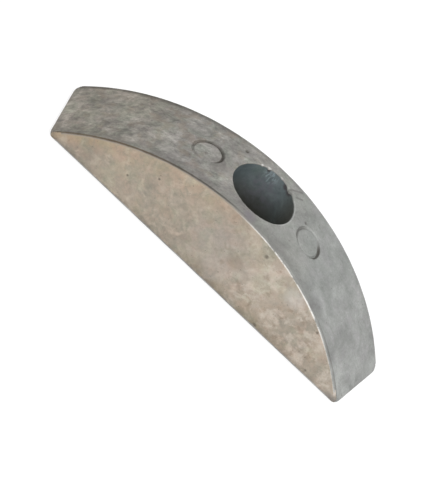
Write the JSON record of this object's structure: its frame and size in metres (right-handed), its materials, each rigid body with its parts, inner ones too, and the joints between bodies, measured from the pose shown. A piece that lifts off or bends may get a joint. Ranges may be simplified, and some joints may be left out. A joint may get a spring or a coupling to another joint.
{
  "type": "sacrificial anode",
  "caption": "Half-moon sacrificial anode cast in zinc, with a flat seat, a curved and slightly conical rim, and a deep counterbored bolt hole through the crown.",
  "frame": {"origin": "centre of the flat seat, on the bolt's axis", "axes": "+X along the seat, +Y towards the longer half-moon face, +Z out of the bolt hole through the crown"},
  "size_m": [0.1076, 0.0264, 0.0252],
  "materials": {
    "cast_zinc": "weathered as-cast zinc, matt grey, the density of cast iron stands in for zinc's"
  },
  "bodies": {
    "root": {"anode_casting": "cast_zinc"}
  },
  "joints": []
}
